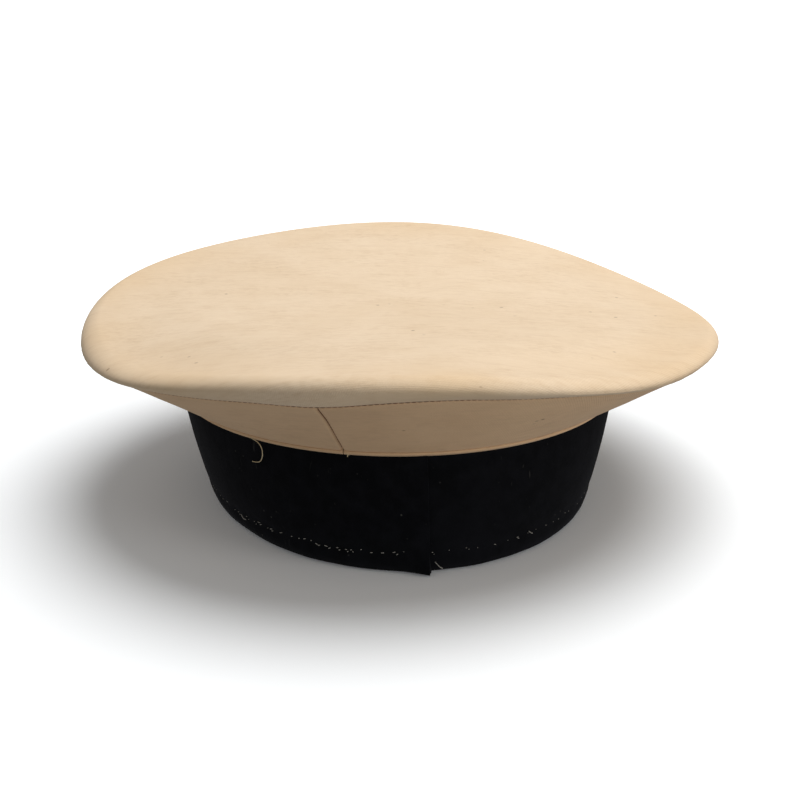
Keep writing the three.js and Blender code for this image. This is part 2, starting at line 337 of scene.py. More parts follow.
def drillFinish(name, look, rollFrom=None):
    cotton = Finish(name, shine=0.25, Roughness=0.88, SheenWeight=0.12, SheenRoughness=0.5)
    place = cotton.clothPlace()
    slubs = cotton.noise(cotton.stretch(place, (120, 330, 1)), detail=4, rough=0.66)
    longSlubs = cotton.noise(cotton.stretch(place, (44, 210, 1)), detail=3, rough=0.6)
    fineSlubs = cotton.noise(cotton.stretch(place, (260, 700, 1)), detail=3, rough=0.6)
    warpSlubs = cotton.noise(cotton.stretch(place, (700, 90, 1)), detail=2, rough=0.5)
    blotches = cotton.noise(place, scale=34, detail=4, rough=0.6)
    large = cotton.noise(place, scale=11, detail=2, rough=0.5)
    patchy = cotton.noise(cotton.stretch(place, (22, 60, 1)), detail=3, rough=0.6)
    speckCells = cotton.cells(cotton.stretch(place, (1, 1.6, 1)), scale=95)
    speckField = cotton.noise(place, scale=31, detail=1)
    worn = patchy.between(0.34, 0.64) * 0.85 + 0.15
    colour = cotton.blend(look["cloth"], look["blotch"], blotches.between(0.42, 0.72) * 0.5)
    colour = cotton.blend(colour, look["blotch"], large.between(0.45, 0.75) * 0.45)
    colour = cotton.blend(colour, look["pale"], longSlubs.between(0.54, 0.74) * 0.24)
    colour = cotton.blend(colour, look["slub"], slubs.between(0.50, 0.72) * worn * 0.44)
    colour = cotton.blend(colour, look["slub"], (1 - longSlubs.between(0.28, 0.46)) * 0.20)
    colour = cotton.blend(colour, look["slub"], fineSlubs.between(0.46, 0.70) * worn * 0.34)
    colour = cotton.blend(colour, look["slub"], warpSlubs.between(0.58, 0.82) * worn * 0.12)
    specks = (1 - speckCells.between(0.05, 0.10)) * speckField.between(0.56, 0.60)
    colour = cotton.blend(colour, drillLook["speck"], specks * 0.75)
    if rollFrom:    # handling has yellowed the cloth near the edge
        edge = cotton.length(place).between(rollFrom - drillLook["handledFrom"], rollFrom + 2 * mm)
        handled = edge * cotton.noise(place, scale=14, detail=3).between(0.30, 0.60)
        colour = cotton.blend(colour, drillLook["handled"], handled * 0.42)
    twist = 1 / drillLook["twill"] / math.tau * 2
    ribs = cotton.waves(cotton.stretch(place, (1, 1, 1), turn=38), twist, warp=0.8, warpScale=2)
    weft = 1 / drillLook["yarn"] / math.tau
    yarns = cotton.waves(cotton.stretch(place, (1, 1, 1), turn=90), weft)
    weave = ribs * 0.7 + yarns * 0.3 + slubs.between(0.50, 0.75) * 0.9
    # darker in the twill's grooves, where the bump is low: painted shade
    colour = cotton.blend(colour, look["slub"], (1 - ribs) * 0.13)
    cotton.set(BaseColor=colour, Normal=cotton.bump(weave, drillLook["ribDepth"], 0.8))
    return cotton.material


# Wool melton: felted, almost black, with lint on it.
woolLook = {"cloth": (0.0022, 0.0026, 0.0038), "nap": (0.0062, 0.0068, 0.0095),
            "lint": (0.16, 0.16, 0.15), "fibreDepth": 0.00018}


def woolFinish():
    melton = Finish("navyMelton", shine=0.10, Roughness=0.97, SheenWeight=0.025,
                    SheenRoughness=0.4, SheenTint=(0.45, 0.50, 0.75))
    place = melton.objectPlace()
    nap = melton.noise(place, scale=900, detail=4, rough=0.7)
    clumps = melton.noise(place, scale=160, detail=3, rough=0.6)
    rubbed = melton.noise(place, scale=32, detail=3, rough=0.55)
    colour = melton.blend(woolLook["cloth"], woolLook["nap"], clumps.between(0.40, 0.75) * 0.7)
    colour = melton.blend(colour, woolLook["nap"], rubbed.between(0.50, 0.75) * 0.6)
    lintCells = melton.cells(place, scale=240)
    lintField = melton.noise(place, scale=75, detail=2)
    lint = (1 - lintCells.between(0.04, 0.12)) * lintField.between(0.54, 0.64)
    hairs = melton.noise(melton.stretch(place, (500, 500, 90)), detail=1, warp=1.5)
    streaks = hairs.between(0.745, 0.80) * melton.noise(place, scale=48, detail=1).between(0.5, 0.6)
    colour = melton.blend(colour, woolLook["lint"], lint * 0.42 + streaks * 0.20)
    felted = nap * 0.6 + clumps * 0.8
    melton.set(BaseColor=colour, Normal=melton.bump(felted, woolLook["fibreDepth"], 0.9))
    return melton.material


leatherLook = {"hide": (0.105, 0.044, 0.017), "dark": (0.035, 0.014, 0.006),
               "worn": (0.20, 0.10, 0.045), "grainDepth": 0.00016}


def leatherFinish():
    skiver = Finish("sweatbandLeather", shine=0.4)
    place = skiver.objectPlace()
    grain = skiver.cells(place, scale=720)
    creases = skiver.noise(skiver.stretch(place, (90, 90, 260)), detail=5, rough=0.65, warp=0.6)
    stains = skiver.noise(place, scale=26, detail=4, rough=0.6)
    height = skiver.axis(place, "Z")
    stained = stains.between(0.42, 0.66) * 0.8
    colour = skiver.blend(leatherLook["hide"], leatherLook["dark"], stained)
    colour = skiver.blend(colour, leatherLook["worn"], height.between(0.031, 0.038) * 0.6)
    # darker along the creases, which the bump sinks: painted shade in their grooves
    colour = skiver.blend(colour, leatherLook["dark"], creases.between(0.60, 0.75) * 0.5)
    surface = grain.between(0.0, 0.7) * 0.6 - creases.between(0.55, 0.75) * 0.8
    skiver.set(BaseColor=colour, Roughness=mixNumbers(stains, 0.46, 0.66),
               Normal=skiver.bump(surface, leatherLook["grainDepth"], 0.9))
    return skiver.material


def mixNumbers(share, low, high):
    return share * (high - low) + low


# One plain weave serves the lining, tape, wadding, buckram and felt, each with its own yarn.
weaves = {
    "lining": {"cloth": (0.60, 0.50, 0.35), "shade": (0.42, 0.33, 0.21), "yarn": 0.00050,
               "depth": 0.00006, "roughness": 0.62, "fuzz": 0.15},
    "tape": {"cloth": (0.62, 0.54, 0.40), "shade": (0.44, 0.36, 0.25), "yarn": 0.00080,
             "depth": 0.00012, "roughness": 0.85, "fuzz": 0.3},
    "buckram": {"cloth": (0.46, 0.38, 0.24), "shade": (0.24, 0.18, 0.10), "yarn": 0.00130,
                "depth": 0.00030, "roughness": 0.80, "fuzz": 0.2},
    "wadding": {"cloth": (0.66, 0.62, 0.54), "shade": (0.50, 0.45, 0.37), "yarn": 0.00240,
                "depth": 0.00025, "roughness": 0.98, "fuzz": 0.9},
    "felt": {"cloth": (0.30, 0.28, 0.25), "shade": (0.18, 0.165, 0.145), "yarn": 0.00300,
             "depth": 0.00035, "roughness": 1.0, "fuzz": 1.0},
}


def wovenFinish(name, place="object"):
    look = weaves[name]
    woven = Finish(name + "Cloth", shine=0.3, Roughness=look["roughness"])
    where = woven.clothPlace() if place == "cloth" else woven.objectPlace()
    count = 1 / look["yarn"] / math.tau
    warps = woven.waves(woven.stretch(where, (1, 1, 1)), count * 2)
    wefts = woven.waves(woven.stretch(where, (1, 1, 1), turn=90), count * 2)
    fuzz = woven.noise(where, scale=700, detail=4, rough=0.7)
    stains = woven.noise(where, scale=22, detail=4, rough=0.6)
    uneven = woven.noise(woven.stretch(where, (30, 600, 30)), detail=2)
    surface = warps * wefts * (1 - look["fuzz"]) + fuzz * look["fuzz"]
    colour = woven.blend(look["cloth"], look["shade"], stains.between(0.45, 0.70) * 0.6)
    # darker between the yarns, where the bump is low: painted shade
    colour = woven.blend(colour, look["shade"], (1 - surface) * 0.35)
    colour = woven.blend(colour, look["shade"], uneven.between(0.58, 0.75) * 0.35)
    woven.set(BaseColor=colour, Normal=woven.bump(surface, look["depth"], 0.8))
    return woven.material


def threadFinish(name, colour, shade):
    thread = Finish(name, Roughness=0.8)
    place = thread.objectPlace()
    twists = thread.waves(thread.stretch(place, (1, 1, 1), turn=45), 420, warp=1.0)
    soiled = thread.noise(place, scale=180, detail=3)
    mixed = thread.blend(colour, shade, soiled.between(0.40, 0.65) * 0.7)
    # darker in the twist's grooves, where the bump is low: painted shade
    thread.set(BaseColor=thread.blend(mixed, shade, (1 - twists) * 0.3),
               Normal=thread.bump(twists, 0.00008, 0.7))
    return thread.material


def steelFinish():
    steel = Finish("springSteel", Metallic=1.0)
    place = steel.objectPlace()
    drawn = steel.noise(steel.stretch(place, (700, 700, 2600)), detail=3)
    tarnish = steel.noise(place, scale=120, detail=4, rough=0.65)
    colour = steel.blend((0.34, 0.35, 0.36), (0.16, 0.13, 0.10), tarnish.between(0.50, 0.70))
    steel.set(BaseColor=colour, Roughness=mixNumbers(tarnish, 0.28, 0.60),
              Normal=steel.bump(drawn, 0.00003, 0.5))
    return steel.material


finishes = {
    "drillTop": drillFinish("beigeDrill", drillLook["top"], rollFrom=hoopRadius),
    # the quarters' finish carries painted shade: a darker, warmer copy of the same drill
    "drillPaintedShade": drillFinish("paintedShadeDrill", drillLook["under"]),
    "wool": woolFinish(),
    "leather": leatherFinish(),
    "lining": wovenFinish("lining", "cloth"),
    "tape": wovenFinish("tape"),
    "buckram": wovenFinish("buckram"),
    "wadding": wovenFinish("wadding"),
    "felt": wovenFinish("felt"),
    "steel": steelFinish(),
    "brownThread": threadFinish("seamThread", (0.30, 0.12, 0.070), (0.13, 0.050, 0.028)),
    "greyThread": threadFinish("bastingThread", (0.40, 0.39, 0.37), (0.16, 0.155, 0.14)),
    "creamThread": threadFinish("looseThread", (0.72, 0.62, 0.42), (0.50, 0.40, 0.24)),
}
print("finishes made", len(finishes))


sharpEdge = 50             # degrees, past which an edge is shaded sharp
weldWithin = 0.02 * mm


def deselect():
    bpy.ops.object.select_all(action="DESELECT")


def pick(*pieces):    # selects these alone, the first one active
    deselect()
    for piece in pieces:
        piece.select_set(True)
    bpy.context.view_layer.objects.active = pieces[0]


def joinUp(pieces, name):
    pick(*pieces)
    bpy.ops.object.join()
    joined = bpy.context.object
    joined.name = joined.data.name = name
    return joined


# A profile drawn in the XZ plane, point by point, and spun round the cap's axis.
def addSpun(name, line, start, turns):
    deselect()
    points = [turned(point, start) for point in line]
    bpy.ops.mesh.primitive_plane_add(size=mm, location=points[0])
    piece = bpy.context.object
    piece.name = piece.data.name = name
    bpy.ops.object.transform_apply(location=True, rotation=False, scale=False)
    bpy.ops.object.mode_set(mode="EDIT")
    bpy.ops.mesh.select_all(action="SELECT")
    bpy.ops.mesh.merge(type="CENTER")
    for here, there in zip(points, points[1:]):
        bpy.ops.mesh.extrude_vertices_move(TRANSFORM_OT_translate={"value": there - here})
    bpy.ops.mesh.select_all(action="SELECT")
    for degrees, steps in turns:
        bpy.ops.mesh.spin(steps=steps, angle=-math.radians(degrees), center=(0, 0, 0),
                          axis=(0, 0, 1), use_auto_merge=False)
    bpy.ops.object.mode_set(mode="OBJECT")
    markDisc(piece, line)
    closeUp(piece)
    return piece


def lengthsAlong(line):
    lengths = [0.0]
    for here, there in zip(line, line[1:]):
        lengths.append(lengths[-1] + (there - here).length)
    return lengths


def rowsOf(piece, line):    # which point of the profile each vertex was spun from
    tree = kdtree.KDTree(len(line))
    for i, point in enumerate(line):
        tree.insert((point.x, point.y, 0), i)
    tree.balance()
    return [tree.find((v.co.xy.length, v.co.z, 0))[1] for v in piece.data.vertices]


# Notes where each point was on the flat cloth, so that the weave follows the piece.
def markDisc(piece, line):
    lengths = lengthsAlong(line)
    cut = piece.data.attributes.new("cut", "FLOAT_VECTOR", "POINT")
    for v, row, place in zip(piece.data.vertices, rowsOf(piece, line), cut.data):
        out = line[0].x + lengths[row]
        turn = math.atan2(v.co.y, v.co.x)
        turn -= math.radians(view["azimuth"])    # the cloth's threads run across the back
        place.vector = (out * math.cos(turn), out * math.sin(turn), 0)


# A strip of cloth, cut flat as a grid and wrapped round the head. Its rows follow a profile.
def addStrip(name, line, start, turns):
    angles = [start]
    for degrees, steps in turns:
        angles += [angles[-1] + degrees * (i + 1) / steps for i in range(steps)]
    steps, rows = len(angles) - 1, len(line) - 1
    deselect()
    bpy.ops.mesh.primitive_grid_add(x_subdivisions=steps, y_subdivisions=rows, size=1)
    piece = bpy.context.object
    piece.name = piece.data.name = name
    lengths = lengthsAlong(line)
    middleRadius = sum(point.x for point in line) / len(line)
    cut = piece.data.attributes.new("cut", "FLOAT_VECTOR", "POINT")
    for v, place in zip(piece.data.vertices, cut.data):
        step, row = round((v.co.x + 0.5) * steps), round((v.co.y + 0.5) * rows)
        place.vector = (math.radians(angles[step]) * middleRadius, lengths[row], 0)
        v.co = turned(line[row], angles[step])
    closeUp(piece)
    return piece


def closeUp(piece):
    pick(piece)
    bpy.ops.object.mode_set(mode="EDIT")
    bpy.ops.mesh.select_all(action="SELECT")
    bpy.ops.mesh.remove_doubles(threshold=weldWithin)
    bpy.ops.mesh.normals_make_consistent(inside=False)
    bpy.ops.object.mode_set(mode="OBJECT")


def useModifier(piece, modifier):
    pick(piece)
    bpy.ops.object.modifier_apply(modifier=modifier.name)


def thicken(piece, thickness):
    solid = piece.modifiers.new("cloth", "SOLIDIFY")
    solid.thickness = thickness
    solid.offset = 0
    useModifier(piece, solid)


def shift(piece, move):    # move gives the way that a point goes
    for v in piece.data.vertices:
        v.co = v.co + move(v.co)
    piece.data.update()


def spring(piece):
    shift(piece, lambda p: onCap(p) - p)


def dress(piece, finish, slot, *nodes):
    pick(piece)
    bpy.ops.object.shade_smooth_by_angle(angle=math.radians(sharpEdge))
    piece.data.materials.clear()
    piece.data.materials.append(finishes[finish])
    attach(piece, "root")
    if nodes:
        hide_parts(*nodes)
    print(piece.name, len(piece.data.polygons), "faces")


def finishCloth(piece, thickness, *dressing):
    spring(piece)
    thicken(piece, thickness)
    dress(piece, *dressing)


def arc(centre, radius, fromDegrees, toDegrees, steps):
    turns = [math.radians(mix(fromDegrees, toDegrees, i / steps)) for i in range(steps + 1)]
    return [centre + Vector((math.cos(a), math.sin(a))) * radius for a in turns]


def straight(here, there, steps):    # without its first point
    return [here.lerp(there, (i + 1) / steps) for i in range(steps)]


# The crown's top: one disc, turned over the hoop, taken in at the seam.
crown = {"steps": 288, "rings": 40, "rollSteps": 14, "faceSteps": 8, "faceBulge": 0.5 * mm,
         "crest": (5.2 * mm, 4.9 * mm), "slackCrest": (8.5 * mm, 7.8 * mm),
         "slack": [(-168, 33), (-70, 20)], "softness": 0.40 * mm, "gather": 0.22 * mm,
         "tipGather": 0.8 * mm, "tipAt": -9, "tipWidth": 8, "gatherFrom": 0.97, "gathers": 46,
         "rollFrom": 2 * mm, "rollReach": 7 * mm}


# The cloth turns over the crest of the roll and drops steeply to the seam.
def crownLine(crest):
    deep, high = crest
    middle = Vector((hoopRadius + clothRoll - deep, topHeight - high))
    line = [Vector((0, topHeight))]
    line += straight(line[0], Vector((middle.x, topHeight)), crown["rings"])
    for point in arc(Vector((0, 0)), 1, 90, 0, crown["rollSteps"])[1:]:
        line.append(middle + Vector((point.x * deep, point.y * high)))
    face = straight(line[-1], line[-1].lerp(seam, 0.94), crown["faceSteps"])
    outward = Vector((line[-1].y - seam.y, seam.x - line[-1].x)).normalized()
    for i, point in enumerate(face):
        line.append(point + outward * crown["faceBulge"] * math.sin(math.pi * (i + 1) / len(face)))
    turnIn = onSlope(0.4 * mm, drill + clearance)
    line += [seam + slopeInside * 0.4 * mm, turnIn]
    line += straight(turnIn, onSlope(seamAllowance, drill + clearance), 4)
    return line


def slackenRoll(piece, line):    # at two places the cloth is slack and slopes to the seam
    slackLine = crownLine(crown["slackCrest"])
    for v, row in zip(piece.data.vertices, rowsOf(piece, line)):
        turn = angleOf(v.co)
        share = clamp(sum(bell(turnBetween(turn, at), width) for at, width in crown["slack"]))
        v.co = turned(line[row].lerp(slackLine[row], share), turn)
    piece.data.update()


def softenCrown(p):
    turn, out = angleOf(p), p.xy.length / hoopRadius
    lying = noise.noise(Vector((p.x * 22, p.y * 31, 3.1))) + 0.5 * noise.noise(p * 70)
    rollTop = topHeight + hoopLift(p.xy.length, math.radians(turn), topHeight)
    below = clamp((rollTop - p.z - crown["rollFrom"]) / crown["rollReach"])
    move = Vector((0, 0, crown["softness"] * lying * clamp((1.02 - out) * 8) * clamp(out * 3)))
    if out > crown["gatherFrom"]:    # small gathers where the roll is sewn, larger at its tip
        gather = noise.noise(Vector((math.radians(turn) * crown["gathers"], 0, p.z * 40)))
        tip = bell(turnBetween(turn, crown["tipAt"]), crown["tipWidth"])
        size = crown["gather"] + tip * crown["tipGather"]
        move += outOf(p) * gather * size * below
        move.z += gather * tip * size * 0.6
    return move


def makeCrown():
    line = crownLine(crown["crest"])
    piece = addSpun("crownTop", line, 0, [(360, crown["steps"])])
    slackenRoll(piece, line)
    spring(piece)
    shift(piece, softenCrown)
    thicken(piece, drill)
    dress(piece, "drillTop", "drill", "crown_top")
    return piece, lengthsAlong(line)[-1]


crownTop, crownCut = makeCrown()


# The four quarters under the crown, each with its two ends turned in at the seams.
quarter = {"steps": 60, "seamSteps": 9, "seamZone": 2.0, "gap": 0.12, "turnIn": 1.1 * mm,
           "sink": 0.6 * mm, "softness": 0.35 * mm, "lip": 0.35 * mm, "tuck": 6 * mm}
tuckDepth = 2 * clearance + wool + buckram + drill / 2    # behind the wool and the stiffener


def quarterLine():
    line = [onSlope(0.85 * mm, 0.30 * mm), onSlope(1.2 * mm, 0.1 * mm), onSlope(1.7 * mm, 0)]
    overhang = onSlope(slopeLength - 1.25 * mm, 0)
    line += straight(line[-1], overhang, 22)
    lip = quarter["lip"]
    line += [overhang + Vector((lip * 0.8, -0.4 * mm)), overhang + Vector((lip, -0.75 * mm))]
    line.append(overhang + Vector((lip * 0.2, -1.05 * mm)))
    inner = Vector((inBand(tuckDepth, bandHeight).x, quarterFoot.y))
    line += straight(line[-1], inner, 4)
    line += straight(inner, inBand(tuckDepth, bandHeight - quarter["tuck"]), 3)
    return line


def creaseAt(seams):
    inward = Vector((slopeInside.x, slopeInside.y))

    def move(p):
        if p.z < bandHeight + 1 * mm:
            return Vector()
        nearest = min(abs(turnBetween(angleOf(p), seamTurn)) for seamTurn in seams)
        drop = bell(math.radians(nearest) * p.xy.length, quarter["sink"]) * quarter["turnIn"]
        return outOf(p) * inward.x * drop + Vector((0, 0, inward.y * drop))
    return move


def softenQuarter(p):
    onCloth = clamp((p.z - bandHeight - 2 * mm) / (8 * mm))
    held = clamp((0.985 * seam.x - p.xy.length) / (5 * mm))
    lying = noise.noise(p * 38) + 0.4 * noise.noise(p * 110)
    return Vector((0, 0, quarter["softness"] * lying * onCloth * held))


def makeQuarter(i):
    line = quarterLine()
    start = quarterSeamAt + 90 * i
    zone, gap = quarter["seamZone"], quarter["gap"]
    turns = [(zone, quarter["seamSteps"]), (90 - 2 * zone - 2 * gap, quarter["steps"]),
             (zone, quarter["seamSteps"])]
    piece = addStrip("quarter" + quarterNames[i].title(), line, start + gap, turns)
    shift(piece, creaseAt((start, start + 90)))
    spring(piece)
    shift(piece, softenQuarter)
    thicken(piece, drill)
    dress(piece, "drillPaintedShade", "drill", "quarter_" + quarterNames[i])
    return piece


quarters = [makeQuarter(i) for i in range(4)]
quarterCut = {"width": math.radians(90) * seam.x, "height": lengthsAlong(quarterLine())[-1],
              "area": math.radians(90) * (slopeLength * (seam.x + quarterFoot.x) / 2
                                          + (quarter["tuck"] + 5 * mm) * quarterFoot.x)}


stitchBow = 60    # how much a stitch's ends dive into the cloth


# A stitch is modelled once, as a plump short length of thread, and copied to each place.
def addStitch(name, length, width, height):
    deselect()
    bpy.ops.mesh.primitive_uv_sphere_add(segments=8, ring_count=6, radius=0.5,
                                         rotation=(0, math.radians(90), 0))
    stitch = bpy.context.object
    stitch.name = stitch.data.name = name
    stitch.scale = (height, width, length)
    bpy.ops.object.transform_apply(location=False, rotation=True, scale=True)
    return stitch


def sewStitches(stitch, places):    # a place is a point, its direction, its outward way, a scale
    copies = []
    for point, along, outward, size in places:
        side = outward.cross(along).normalized()
        along = side.cross(outward).normalized()
        copy = stitch.copy()
        copy.data = stitch.data.copy()
        bpy.context.scene.collection.objects.link(copy)
        for v in copy.data.vertices:
            lift = -v.co.x * v.co.x * size[0] * stitchBow
            v.co = (point + along * v.co.x * size[0] + side * v.co.y * size[1]
                    + outward * (v.co.z * size[1] + lift))
        copies.append(copy)
    name = stitch.name
    bpy.data.meshes.remove(stitch.data)    # the first stitch goes, and its copies take its name
    return joinUp(copies, name)


def stitchOn(point, outward, degrees, slant=0.0, size=(1, 1)):
    here = onCap(turned(point, degrees))
    there = onCap(turned(point, degrees + 0.2))
    away = (onCap(turned(point + outward * mm, degrees)) - here).normalized()
    along = (there - here).normalized()
    along = (along + away.cross(along) * slant).normalized()
    return here, along, away, size


seamStitch = {"length": 1.9 * mm, "width": 0.34 * mm, "height": 0.28 * mm, "pitch": 2.1 * mm}


def sewCrownSeam():
    dice = random.Random(5)
    groove = onSlope(0.40 * mm, -0.26 * mm)
    count = round(math.tau * groove.x / seamStitch["pitch"])
    stitch = addStitch("crownSeamStitches", seamStitch["length"], seamStitch["width"],
                       seamStitch["height"])
    places = []
    for i in range(count):
        degrees = 360 * (i + dice.uniform(-0.05, 0.05)) / count
        size = (dice.uniform(0.92, 1.06), dice.uniform(0.9, 1.1))
        places.append(stitchOn(groove, -slopeInside, degrees, dice.uniform(-0.08, 0.08), size))
    sewn = sewStitches(stitch, places)
    dress(sewn, "brownThread", "brown_thread", "crown_seam_thread")


def sewQuarterSeams():
    stitch = addStitch("quarterSeamStitches", seamStitch["length"], seamStitch["width"],
                       seamStitch["height"])
    count = round((slopeLength - 5 * mm) / seamStitch["pitch"])
    places = []
    for degrees in (quarterSeamAt + 90 * i for i in range(4)):
        for i in range(count):
            along = 2 * mm + (i + 0.5) * seamStitch["pitch"]
            here, there, above = (onCap(turned(onSlope(*at), degrees)) for at in (
                (along, 0.05 * mm), (along + 0.3 * mm, 0.05 * mm), (along, -0.95 * mm)))
            places.append((here, (there - here).normalized(), (above - here).normalized(), (1, 1)))
    sewn = sewStitches(stitch, places)
    dress(sewn, "brownThread", "brown_thread")


sewCrownSeam()
sewQuarterSeams()

# The band: one strip of wool with its foot turned up inside and its ends lapped at the back.
band = {"steps": 310, "lap": 7, "lapRise": 1.6 * mm, "lapZone": 9, "hem": 14 * mm,
        "fold": 1.7 * mm, "curl": 4.6 * mm, "curlHeight": 12 * mm, "curlWidth": 16 * mm,
        "softness": 0.30 * mm, "dimple": 0.35 * mm, "dimpleWidth": 2.4 * mm,
        "ridge": 0.30 * mm, "ridgeHeight": 5.4 * mm, "ridgeWidth": 1.3 * mm,
        "outerLayer": 2.6 * mm, "footHeight": 8 * mm, "footRise": 0.45 * mm}
hemStitch = {"height": 9.3 * mm, "wander": 0.6 * mm, "width": 0.36 * mm,
             "freshAt": -122, "freshWide": 34,    # where most of the thread is left
             "lengths": [0.6, 0.7, 0.9, 1.1, 1.4, 1.9], "gaps": (1.4, 5.6)}


def planHemStitches():
    dice = random.Random(11)
    planned = []
    degrees = 0.0
    while degrees < 359:
        length = dice.choice(hemStitch["lengths"]) * mm
        height = hemStitch["height"] + dice.uniform(-1, 1) * hemStitch["wander"]
        fresh = bell(turnBetween(degrees, hemStitch["freshAt"]), hemStitch["freshWide"])
        planned.append((degrees, height, length, dice.uniform(-0.35, 0.35)))
        if dice.random() < 0.10 + 0.35 * fresh:    # sewn twice
            planned.append((degrees + dice.uniform(0.2, 0.9), height - dice.uniform(0.4, 1.0) * mm,
                            length * 0.8, dice.uniform(-0.6, 0.6)))
        gap = dice.uniform(*hemStitch["gaps"]) * mix(1.5, 0.75, fresh) * mm
        degrees += math.degrees((length + gap) / rimRadius)
    return planned


hemStitches = planHemStitches()


def bandLine():
    face, fold = wool / 2, band["fold"]
    foldMiddle = Vector((inBand(face + fold, 0).x, fold + face))
    line = [inBand(face, mix(bandHeight, foldMiddle.y, i / 26)) for i in range(27)]
    line += arc(foldMiddle, fold, 0, -180, 12)[1:]
    line += straight(line[-1], inBand(face + 2 * fold, band["hem"]), 5)
    return line


def layBand(piece):
    join = math.radians(bandJoinAt)
    outward = Vector((math.cos(join), math.sin(join), 0))
    cut = piece.data.attributes["cut"].data
    laid = max(place.vector.x for place in cut)
    lapLength = laid / math.radians(bandJoinAt + 360) * math.radians(band["lapZone"])
    for v, place in zip(piece.data.vertices, cut):
        p = v.co.copy()
        aside = laid - place.vector.x    # from the lapped end, along the cloth
        depth = bandFace(max(p.z, 0)) - p.xy.length
        inFront = clamp((band["outerLayer"] - depth) / (1.2 * mm))
        rise = band["lapRise"] * clamp(1 - aside / lapLength) ** 1.5
        low, near = clamp(1 - p.z / band["curlHeight"]), clamp(1 - aside / band["curlWidth"])
        v.co = p + outward * (rise + band["curl"] * (low * near) ** 2) * inFront
    piece.data.update()


def softenBand(p):
    turn = angleOf(p)
    outward = outOf(p)
    depth = bandFace(clamp(p.z / bandHeight) * bandHeight) - p.xy.length
    move = Vector()
    if depth < band["outerLayer"]:
        free = clamp((bandHeight - p.z) / (6 * mm))
        lying = noise.noise(Vector((p.x * 30, p.y * 30, p.z * 18))) + 0.5 * noise.noise(p * 85)
        move += outward * band["softness"] * lying * free
        for degrees, height, length, slant in hemStitches:
            aside = math.radians(turnBetween(turn, degrees)) * rimRadius
            if max(abs(aside), abs(p.z - height)) < 2.5 * band["dimpleWidth"]:
                near = bell(math.hypot(aside, p.z - height), band["dimpleWidth"])
                move -= outward * band["dimple"] * near
        move += outward * band["ridge"] * bell(p.z - band["ridgeHeight"], band["ridgeWidth"])
    if p.z < band["footHeight"]:    # the foot isn't quite straight
        wave = noise.noise(Vector((math.radians(turn) * 7, 2.7, 0))) * 0.6 + 0.35
        move.z += band["footRise"] * wave * clamp(1 - p.z / band["footHeight"])
    return move


def makeBand():
    line = bandLine()
    turns = [(360 + band["lap"], band["steps"])]
    piece = addStrip("capBand", line, bandJoinAt - band["lap"], turns)
    layBand(piece)
    shift(piece, softenBand)
    finishCloth(piece, wool, "wool", "wool", "cap_band")
    return piece, lengthsAlong(line)[-1]


capBand, bandCut = makeBand()


def sewHem():
    stitch = addStitch("hemStitches", 1 * mm, hemStitch["width"], hemStitch["width"] * 0.8)
    places = []
    for degrees, height, length, slant in hemStitches:
        point = inBand(band["dimple"] - 0.10 * mm, height)
        fresh = bell(turnBetween(degrees, hemStitch["freshAt"]), hemStitch["freshWide"])
        size = (length / mm * mix(0.7, 1, fresh), mix(0.7, 1, fresh))
        places.append(stitchOn(point, Vector((1, 0)), degrees, slant, size))
    sewn = sewStitches(stitch, places)
    dress(sewn, "greyThread", "grey_thread", "hem_thread")


sewHem()

# Loose ends of thread and yarn, each through points as (degrees, height, distance off the wool).
loose = {"yarn": {"width": 0.36 * mm, "lines": [
             [(-138.4, 51.0, 0.9), (-136.8, 49.6, 1.4), (-134.4, 49.0, 1.9), (-133.4, 47.0, 1.9),
              (-133.5, 44.0, 1.6), (-134.4, 41.0, 1.0), (-135.8, 39.2, 0.7), (-137.8, 38.9, 0.5)],
             [(-112.4, 50.9, 0.9), (-112.3, 49.8, 1.2), (-112.1, 48.9, 1.1)],
             [(-112.5, 50.8, 0.9), (-112.7, 49.8, 1.1), (-113.0, 49.4, 0.9)],
             [(-112.4, 50.8, 1.0), (-112.4, 49.4, 1.0), (-112.5, 48.2, 0.7)]]},
         "basting": {"width": 0.36 * mm, "lines": [
             [(-93.6, 5.2, 0.3), (-93.0, 4.0, 0.9), (-92.4, 2.9, 0.9), (-91.7, 2.0, 0.3)],
             [(-148.0, 9.2, 0.3), (-147.2, 8.0, 0.8), (-146.2, 7.8, 0.3)],
             [(-68.0, 10.6, 0.3), (-67.2, 9.4, 0.9), (-66.6, 9.0, 0.4)]]}}


def addThreads(name, sizes):
    threads = []
    for line in sizes["lines"]:
        deselect()
        bpy.ops.curve.primitive_nurbs_path_add()
        thread = bpy.context.object
        path = thread.data.splines[0]
        if len(line) > len(path.points):
            path.points.add(len(line) - len(path.points))
        for i, point in enumerate(path.points):
            degrees, height, off = line[min(i, len(line) - 1)]
            point.co = (*onCap(turned(inBand(-off * mm, height * mm), degrees)), 1)
        path.order_u = 3
        thread.data.resolution_u = 4
        thread.data.bevel_depth = sizes["width"] / 2
        thread.data.bevel_resolution = 2
        thread.data.use_fill_caps = True
        bpy.ops.object.convert(target="MESH")
        threads.append(bpy.context.object)
    joined = joinUp(threads, name)
    bpy.ops.object.transform_apply(location=True, rotation=True, scale=True)
    closeUp(joined)
    return joined


dress(addThreads("looseYarn", loose["yarn"]), "creamThread", "drill")
dress(addThreads("looseBasting", loose["basting"]), "greyThread", "grey_thread")

